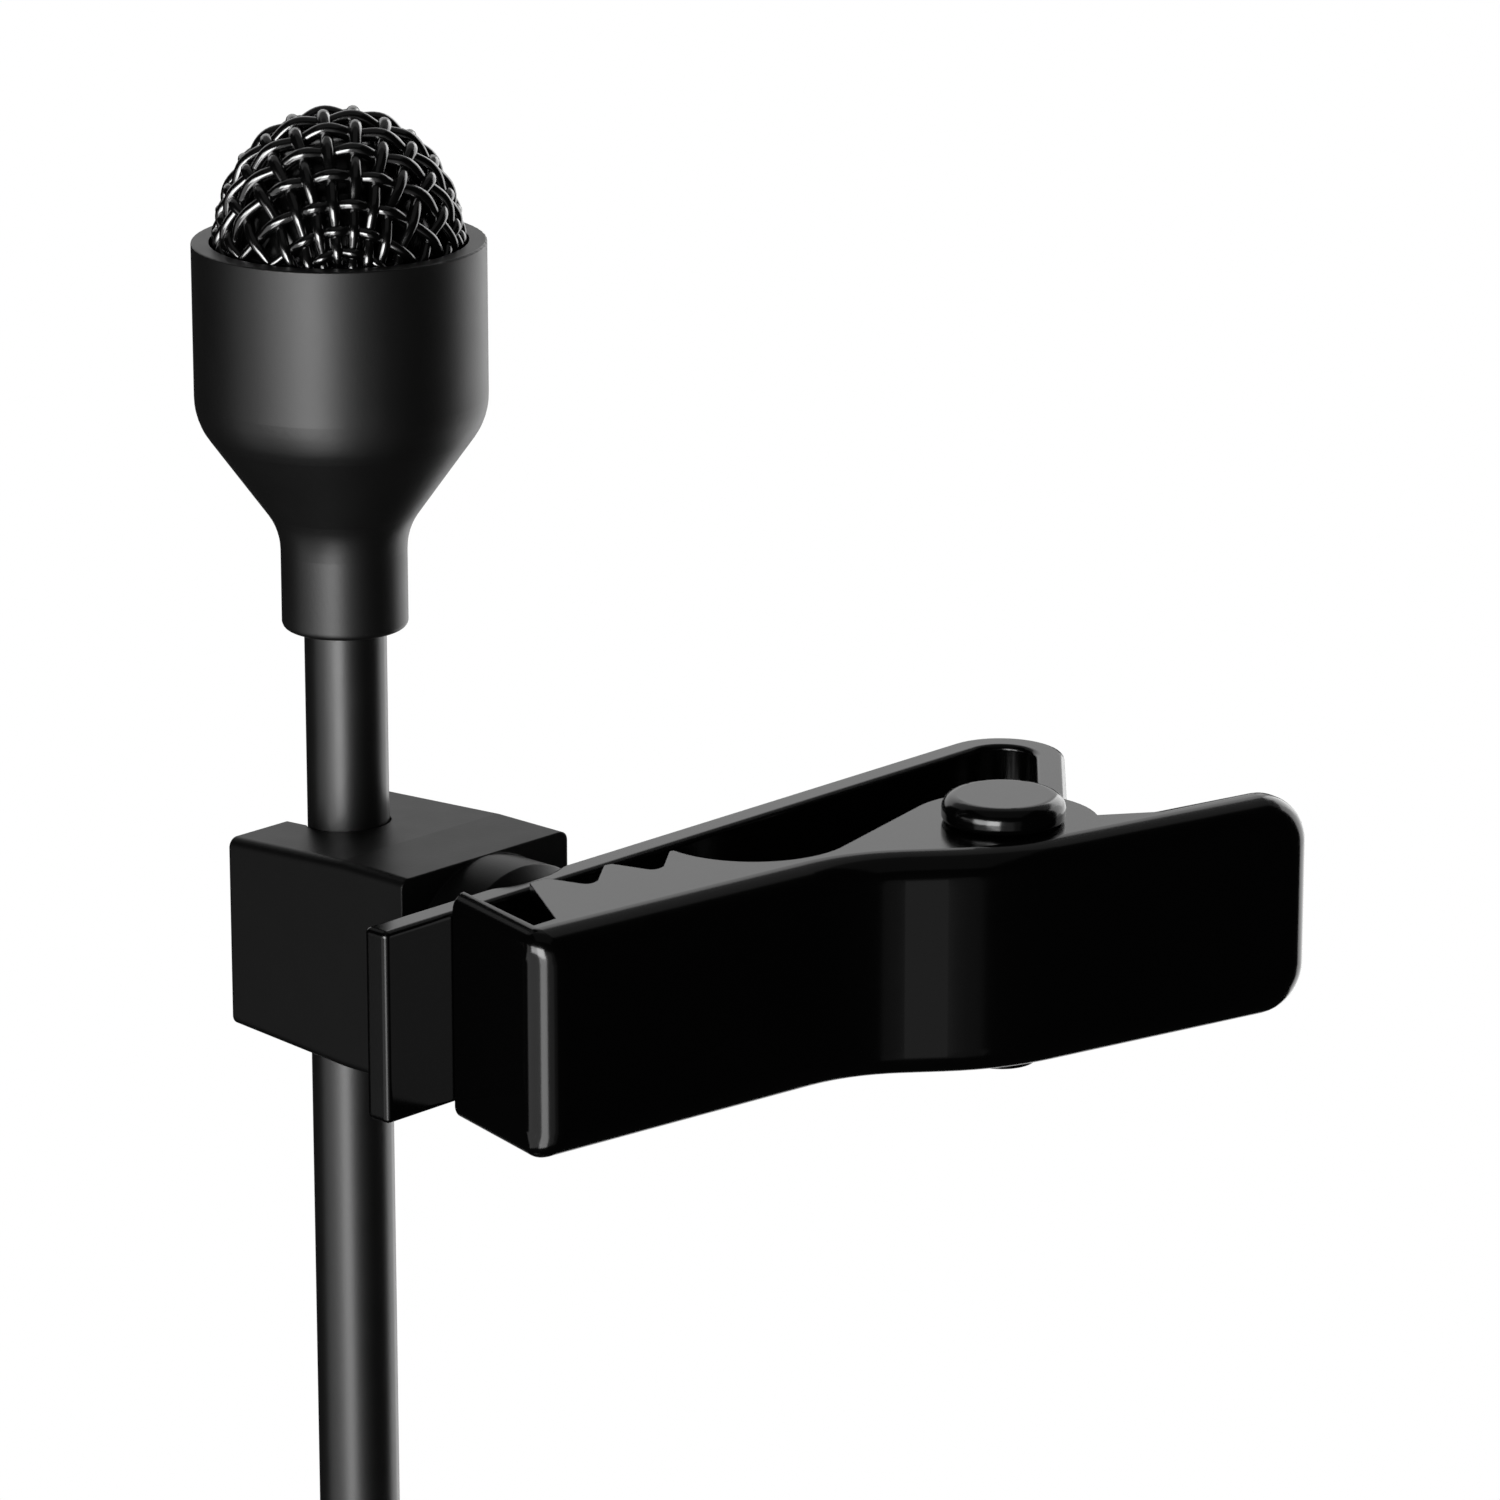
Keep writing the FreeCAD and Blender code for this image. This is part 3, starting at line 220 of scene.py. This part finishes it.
MATERIALS = {
    "clip_plastic": surface("gloss_black_plastic", (0.0006, 0.0006, 0.0006), 0.15, mottling=(0.02, 900.0),
                            grain=(0.01, 900.0, 0.00002), edge=0.07),
    "holder_plastic": surface("satin_black_plastic", (0.0012, 0.0012, 0.0012), 0.40, ior=1.28,
                              mottling=(0.03, 900.0), grain=(0.12, 9000.0, 0.00002), edge=0.1),
    "black_paint": surface("satin_black_paint", (0.0016, 0.0016, 0.0016), 0.42, mottling=(0.03, 700.0),
                           grain=(0.10, 12000.0, 0.00002)),
    "black_wire": surface("gloss_black_wire", (0.0008, 0.0008, 0.0008), 0.17, ior=1.9,
                          mottling=(0.03, 3000.0)),
    "cable_jacket": surface("black_jacket", (0.0012, 0.0012, 0.0012), 0.38, ior=1.58, mottling=(0.03, 900.0),
                            grain=(0.10, 8000.0, 0.00002)),
    "steel": surface("plain_steel", (0.55, 0.55, 0.56), 0.30, metallic=1.0, mottling=(0.08, 2500.0)),
    "nylon": surface("natural_nylon", (0.70, 0.69, 0.64), 0.45, grain=(0.1, 4000.0, 0.00002)),
    "dust_cloth": surface("black_gauze", (0.002, 0.002, 0.002), 0.22, mottling=(0.03, 3000.0)),
    "black_rubber": surface("black_rubber", (0.010, 0.010, 0.010), 0.6, grain=(0.2, 6000.0, 0.00002)),
    "capsule_metal": surface("capsule_aluminium", (0.75, 0.75, 0.76), 0.28, metallic=1.0,
                             mottling=(0.08, 3000.0)),
    "black_felt": surface("black_felt", (0.010, 0.010, 0.010), 0.95, sheen=0.5, grain=(0.8, 7000.0, 0.00005)),
    "brass": surface("brass", (0.78, 0.57, 0.25), 0.30, metallic=1.0, mottling=(0.08, 2500.0)),
    "film": surface("metallised_film", (0.85, 0.85, 0.86), 0.12, metallic=1.0, mottling=(0.04, 2500.0)),
    "chip_epoxy": surface("black_epoxy", (0.012, 0.012, 0.012), 0.5, grain=(0.2, 6000.0, 0.00002)),
    "circuit_board": surface("green_board", (0.03, 0.14, 0.06), 0.35, mottling=(0.06, 2500.0)),
    "solder": surface("solder", (0.72, 0.72, 0.73), 0.25, metallic=1.0, mottling=(0.1, 2500.0)),
    "hot_insulation": surface("red_insulation", (0.45, 0.02, 0.015), 0.35, mottling=(0.05, 2500.0)),
    "ground_insulation": surface("white_insulation", (0.75, 0.75, 0.73), 0.35, mottling=(0.05, 2500.0)),
    "tie_fabric": surface("black_strap", (0.014, 0.014, 0.014), 0.85, sheen=0.4,
                          grain=(0.9, 2600.0, 0.00012)),
    "contact_metal": surface("nickel_plate", (0.80, 0.78, 0.72), 0.16, metallic=1.0, mottling=(0.05, 2500.0)),
}

slot_of = {part["node"]: part["material_slot"] for part in frame["record"]["subparts"]}
for node, solid in frame["nodes"].items():
    solid.data.materials.clear()
    solid.data.materials.append(MATERIALS[slot_of[node]])


def add_mesh(name, vertices, faces, slot, body):
    """A smooth-shaded piece that rides on one of the bodies and wears the slot's material."""
    mesh = bpy.data.meshes.new(name)
    mesh.from_pydata(vertices, [], faces)
    mesh.update()
    mesh.shade_smooth()
    mesh.materials.append(MATERIALS[slot])
    piece = bpy.data.objects.new(name, mesh)
    bpy.context.collection.objects.link(piece)
    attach(piece, body)
    return piece


# ---------------------------------------------------------------- woven wire dome
AXIS_Y = 9.65
RIM = 24.0
DOME_RISE = 0.47            # height of the dome's centre above the rim
DOME_RADIUS, DOME_FLARE = 4.1, 0.26
RIM_ANGLE = math.pi / 2 + math.asin(DOME_RISE / DOME_RADIUS)
WIRE = 0.238                # wire radius at the top of the dome
WAVE = 0.5                  # how far a wire swings from the middle surface, in wire radii
DRAWN_IN = 0.22             # how much thinner the wire looks at the rim, where the mesh is drawn tight
CELL = math.radians(15.6)   # pitch of the weave at the top
CUBE_SHARE = 0.277          # how far the wires run together towards the rim
CORNER_SHARE = 0.38         # and how much further on the weave's diagonals
EVEN_REACH = math.radians(75)   # beyond this the wires run straight down to the rim
TAIL_PACK, TAIL_PACK_CORNER = 0.65, 0.35   # how fast they do: on the axes, and added on the diagonals
LAST_WIRE = 8               # the outermost wire to either side of the top
WIRE_REACH = 7.6            # half of a wire's length, in pitches
WIRE_SIDES, STEPS_PER_CELL = 14, 8
BELOW_RIM = 0.7             # how far the wires go down inside the housing
DOME_TURN = math.radians(5.8)
FIRST_ACROSS, FIRST_DOWN = -0.447, 0.30
DOME_SIDE = Vector((math.cos(CAMERA_AZIMUTH - DOME_TURN), -math.sin(CAMERA_AZIMUTH - DOME_TURN), 0.0))
DOME_FRONT = Vector((-math.sin(CAMERA_AZIMUTH - DOME_TURN), -math.cos(CAMERA_AZIMUTH - DOME_TURN), 0.0))


def outer_radius(polar):
    """The woven dome's outer radius at an angle from the top: a ball that flares a little at the rim."""
    return DOME_RADIUS + DOME_FLARE * min(1.0, polar / RIM_ANGLE) ** 6


def dome_ray(across, down):
    """The direction from the dome's centre to a point of the flat weave, given in pitches from the top."""
    whole = max(math.hypot(across, down) * CELL, 1e-9)
    reach = min(whole, EVEN_REACH)
    a, b = across * CELL * reach / whole, down * CELL * reach / whole
    diagonal = (2 * a * b / reach ** 2) ** 2
    flat = Vector((a / reach * math.sin(reach), b / reach * math.sin(reach), math.cos(reach)))
    cube = Vector((math.tan(a), math.tan(b), 1.0)).normalized()
    share = CUBE_SHARE + CORNER_SHARE * diagonal
    mixed = (flat * (1 - share) + cube * share).normalized()
    level = max(math.hypot(mixed.x, mixed.y), 1e-9)
    polar = math.acos(min(1.0, mixed.z)) + (whole - reach) * (TAIL_PACK + TAIL_PACK_CORNER * diagonal)
    aside, ahead = mixed.x / level * math.sin(polar), mixed.y / level * math.sin(polar)
    return DOME_SIDE * aside + DOME_FRONT * ahead + Vector((0, 0, math.cos(polar)))


def make_wire(vertices, faces, fixed, first_crossing, along_side, sign):
    """One round wire laid on the dome, swinging over and under its neighbours and cut off below the rim."""
    centres, rays, radii = [], [], []
    for step in range(int(2 * WIRE_REACH * STEPS_PER_CELL) + 1):
        run = -WIRE_REACH + step / STEPS_PER_CELL
        ray = dome_ray(run, fixed) if along_side else dome_ray(fixed, run)
        polar = math.acos(max(-1.0, min(1.0, ray.z)))
        radius = WIRE * (1 - DRAWN_IN * min(1.0, polar / (math.pi / 2)) ** 2)
        swing = WAVE * radius * sign * math.cos(math.pi * (run - first_crossing))
        centres.append(ray * (outer_radius(polar) - radius * (1 + WAVE) + swing))
        rays.append(ray)
        radii.append(radius)
    last_ring = None
    for i in range(1, len(centres) - 1):
        if centres[i].z < -BELOW_RIM - DOME_RISE:
            last_ring = None
            continue
        along = (centres[i + 1] - centres[i - 1]).normalized()
        outward = (rays[i] - along * rays[i].dot(along)).normalized()
        sideways = along.cross(outward)
        first = len(vertices)
        for j in range(WIRE_SIDES):
            turn = math.tau * j / WIRE_SIDES
            spot = centres[i] + (sideways * math.cos(turn) + outward * math.sin(turn)) * radii[i]
            vertices.append(mm(spot.x, spot.y + AXIS_Y, spot.z + RIM + DOME_RISE))
        if last_ring is not None:
            for j in range(WIRE_SIDES):
                k = (j + 1) % WIRE_SIDES
                faces.append((last_ring + j, last_ring + k, first + k, first + j))
        last_ring = first


def make_dome():
    """The woven dome: two sets of crossing wires in one mesh."""
    vertices, faces = [], []
    for k in range(-LAST_WIRE, LAST_WIRE + 1):
        sign = 1 if k % 2 == 0 else -1
        make_wire(vertices, faces, k + FIRST_ACROSS, FIRST_DOWN, False, sign)
        make_wire(vertices, faces, k + FIRST_DOWN, FIRST_ACROSS, True, -sign)
    dome = add_mesh("woven_dome", vertices, faces, "black_wire", "microphone")
    tidy = bmesh.new()
    tidy.from_mesh(dome.data)
    loose = [vertex for vertex in tidy.verts if not vertex.link_faces]
    bmesh.ops.delete(tidy, geom=loose, context="VERTS")
    bmesh.ops.recalc_face_normals(tidy, faces=tidy.faces)
    tidy.to_mesh(dome.data)
    tidy.free()
    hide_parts("grille_mesh")


make_dome()

# ---------------------------------------------------------------- the cord
CORD = 1.415                # the cord's radius
COIL_Z = -58.0              # the coil's centre
ROWS = (18.41, 15.58, 12.75)    # radii of the coil's three rows, from the outside in
COLUMNS = [AXIS_Y + CORD * shift for shift in (-3, -1, 1, 3)]
POINTS_PER_TURN = 16


def ease(value, start, end):
    """A smooth step from 0 to 1 between start and end."""
    share = min(1.0, max(0.0, (value - start) / (end - start)))
    return share * share * (3 - 2 * share)


def coil_route(first_angle, last_angle):
    """Control points of twelve close turns: three rows of four, each stepping sideways in its own sector."""
    places = ([(0, c) for c in (0, 1, 2, 3)] + [(1, c) for c in (3, 2, 1, 0)]
              + [(2, c) for c in (0, 1, 2, 3)])
    shift_in_row = {2: (60, 100), 1: (140, 180), 0: (220, 260)}
    step_after_row = {1: (100, 140), 0: (180, 220)}
    grow = math.cos(math.pi / POINTS_PER_TURN)
    points = []
    total = 360.0 * (len(places) - 1) + last_angle
    angle = first_angle
    while angle <= total + 1e-6:
        turn, within = divmod(angle, 360.0)
        turn = min(int(turn), len(places) - 1)
        row, column = places[turn]
        after_row, after_column = places[min(turn + 1, len(places) - 1)]
        window = step_after_row[row] if after_row != row else shift_in_row[row]
        share = ease(within, *window)
        radius = ROWS[row] + (ROWS[after_row] - ROWS[row]) * share
        side = COLUMNS[column] + (COLUMNS[after_column] - COLUMNS[column]) * share
        turned = math.radians(angle)
        points.append((radius / grow * math.sin(turned), side, COIL_Z + radius / grow * math.cos(turned)))
        angle += 360.0 / POINTS_PER_TURN
    return points


def lathe(name, profile, centre, slot, segments=56):
    """A turned piece about a vertical axis, from its closed outline of (radius, height) corners."""
    vertices, faces = [], []
    count = len(profile)
    for i in range(segments):
        turn = math.tau * i / segments
        for radius, height in profile:
            vertices.append(mm(centre[0] + radius * math.cos(turn), centre[1] + radius * math.sin(turn),
                               height))
    for i in range(segments):
        left, right = i * count, (i + 1) % segments * count
        for j in range(count):
            k = (j + 1) % count
            faces.append((left + j, right + j, right + k, left + k))
    piece = add_mesh(name, vertices, faces, slot, "microphone")
    piece.data.set_sharp_from_angle(angle=math.radians(35))
    return piece


PLUG_X, PLUG_Y = 12.75, 16.9
PLUG_PLACE = (PLUG_X, PLUG_Y)
TAIL_END, BODY_TOP, BODY_LOW = -86.0, -95.0, -112.0
RIBS, RIB_DEPTH, COLLAR = 7, 0.28, 0.6
RELIEF_THIN, RELIEF_GROWTH, RELIEF_WIDE, FOOT = 1.95, 0.75, 2.7, 0.8
CORE_BORE, GRIP, GRIP_LOW = 0.72, 3.99, 3.74
GROOVES, FIRST_GROOVE, GROOVE_PITCH = 6, 4.4, 1.5


def make_relief():
    """The tapered sleeve over the cord, ribbed so that it bends evenly."""
    bore = CORD + 0.01
    outline = [(bore, BODY_TOP + 0.01), (bore, TAIL_END), (RELIEF_THIN - 0.05, TAIL_END)]
    pitch = (TAIL_END - COLLAR - BODY_TOP - FOOT) / RIBS
    for rib in range(RIBS):
        high = TAIL_END - COLLAR - rib * pitch
        outer = RELIEF_THIN + RELIEF_GROWTH * (rib + 0.5) / RIBS
        outline += [(outer, high), (outer, high - 0.62 * pitch), (outer - RIB_DEPTH, high - 0.68 * pitch),
                    (outer - RIB_DEPTH, high - 0.94 * pitch)]
    outline += [(RELIEF_WIDE, BODY_TOP + FOOT), (RELIEF_WIDE, BODY_TOP + 0.01)]
    relief = lathe("ribbed_relief", outline, PLUG_PLACE, "cable_jacket")
    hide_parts("plug_relief")
    return relief


def make_plug_body():
    """The plug's moulded grip: rounded shoulders, a waist ring and a row of finger grooves."""
    outline = [(CORE_BORE, BODY_LOW), (3.3, BODY_LOW), (3.75, BODY_LOW + 0.18), (3.97, BODY_LOW + 0.6),
               (GRIP, BODY_LOW + 1.1), (GRIP, BODY_LOW + 1.6), (3.75, BODY_LOW + 1.75),
               (3.75, BODY_LOW + 2.2), (GRIP, BODY_LOW + 2.35)]
    for groove in range(GROOVES):
        low = BODY_LOW + FIRST_GROOVE + groove * GROOVE_PITCH
        outline += [(GRIP, low), (GRIP_LOW, low + 0.16), (GRIP_LOW, low + 0.5), (GRIP, low + 0.66)]
    outline += [(GRIP, BODY_TOP - 2.4), (3.8, BODY_TOP - 1.2), (3.45, BODY_TOP - 0.45), (2.95, BODY_TOP),
                (CORE_BORE, BODY_TOP)]
    body = lathe("plug_grip", outline, PLUG_PLACE, "holder_plastic", segments=72)
    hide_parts("plug_body")
    return body


def make_tie():
    """A hook-and-loop strap round the top of the coil, its end lapped over its start."""
    near, far = AXIS_Y - 5.75, AXIS_Y + 5.75
    low, high = COIL_Z + ROWS[2] - CORD - 0.12, COIL_Z + ROWS[0] + CORD + 0.1
    corner, thick, half = 1.5, 0.62, 3.0
    outline = []
    for centre_y, centre_z, start in ((far - corner, high - corner, 0), (near + corner, high - corner, 90),
                                      (near + corner, low + corner, 180), (far - corner, low + corner, 270)):
        for step in range(7):
            turn = math.radians(start + step * 15)
            outline.append((centre_y, centre_z, math.cos(turn), math.sin(turn)))
    path = outline[8:] + outline + outline[:2]
    lap_from = len(outline) - 1
    vertices, faces = [], []
    section = [(-half, 0.1), (-half + 0.12, 0.0), (half - 0.12, 0.0), (half, 0.1), (half, thick - 0.1),
               (half - 0.15, thick), (0.0, thick + 0.05), (-half + 0.15, thick), (-half, thick - 0.1)]
    size = len(section)
    for index, (y, z, out_y, out_z) in enumerate(path):
        lift = (thick + 0.06) * ease(index, lap_from - 4, lap_from + 1)
        for across, height in section:
            reach = corner + height + lift
            vertices.append(mm(across, y + out_y * reach, z + out_z * reach))
    for index in range(len(path) - 1):
        this, after = index * size, (index + 1) * size
        for j in range(size):
            k = (j + 1) % size
            faces.append((this + j, this + k, after + k, after + j))
    faces.append(tuple(range(size)))
    faces.append(tuple(reversed(range((len(path) - 1) * size, len(path) * size))))
    tie = add_mesh("strap_tie", vertices, faces, "tie_fabric", "microphone")
    tie.data.set_sharp_from_angle(angle=math.radians(50))
    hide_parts("coil_tie")
    return tie


COIL_START = COIL_END = 52.0    # degrees from the coil's top where the lead comes in and the tail leaves


def make_cord():
    """The whole lead on one curve: straight down through the holder, round the coil and on to the plug."""
    route = [(0, AXIS_Y, 11.2), (0, AXIS_Y, 0), (0, AXIS_Y, -18), (0, AXIS_Y, -31), (7.4, 8.2, -38.6)]
    route += coil_route(COIL_START, COIL_END)
    route += [(12.55, 14.3, -54.5), (12.85, 15.4, -59.0), (12.75, 16.6, -63.5)]
    route += [(PLUG_X, PLUG_Y, height) for height in (-69.0, -77.0, TAIL_END)]
    curve = bpy.data.curves.new("cord", "CURVE")
    curve.dimensions = "3D"
    curve.bevel_depth = CORD * MM
    curve.bevel_resolution = 6
    curve.resolution_u = 8
    curve.use_fill_caps = True
    spline = curve.splines.new("NURBS")
    spline.points.add(len(route) - 1)
    for point, spot in zip(spline.points, route):
        point.co = (*mm(*spot), 1.0)
    spline.order_u = 3
    spline.use_endpoint_u = True
    curve.materials.append(MATERIALS["cable_jacket"])
    cord = bpy.data.objects.new("cord", curve)
    bpy.context.collection.objects.link(cord)
    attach(cord, "microphone")
    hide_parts("cable", "cable_coil", "cable_tail")
    on_cord = [frame["nodes"][name] for name in (
        "plug_sleeve", "plug_ring", "plug_tip", "plug_insulators", "plug_core")]
    on_cord += [make_relief(), make_plug_body(), make_tie()]


make_cord()
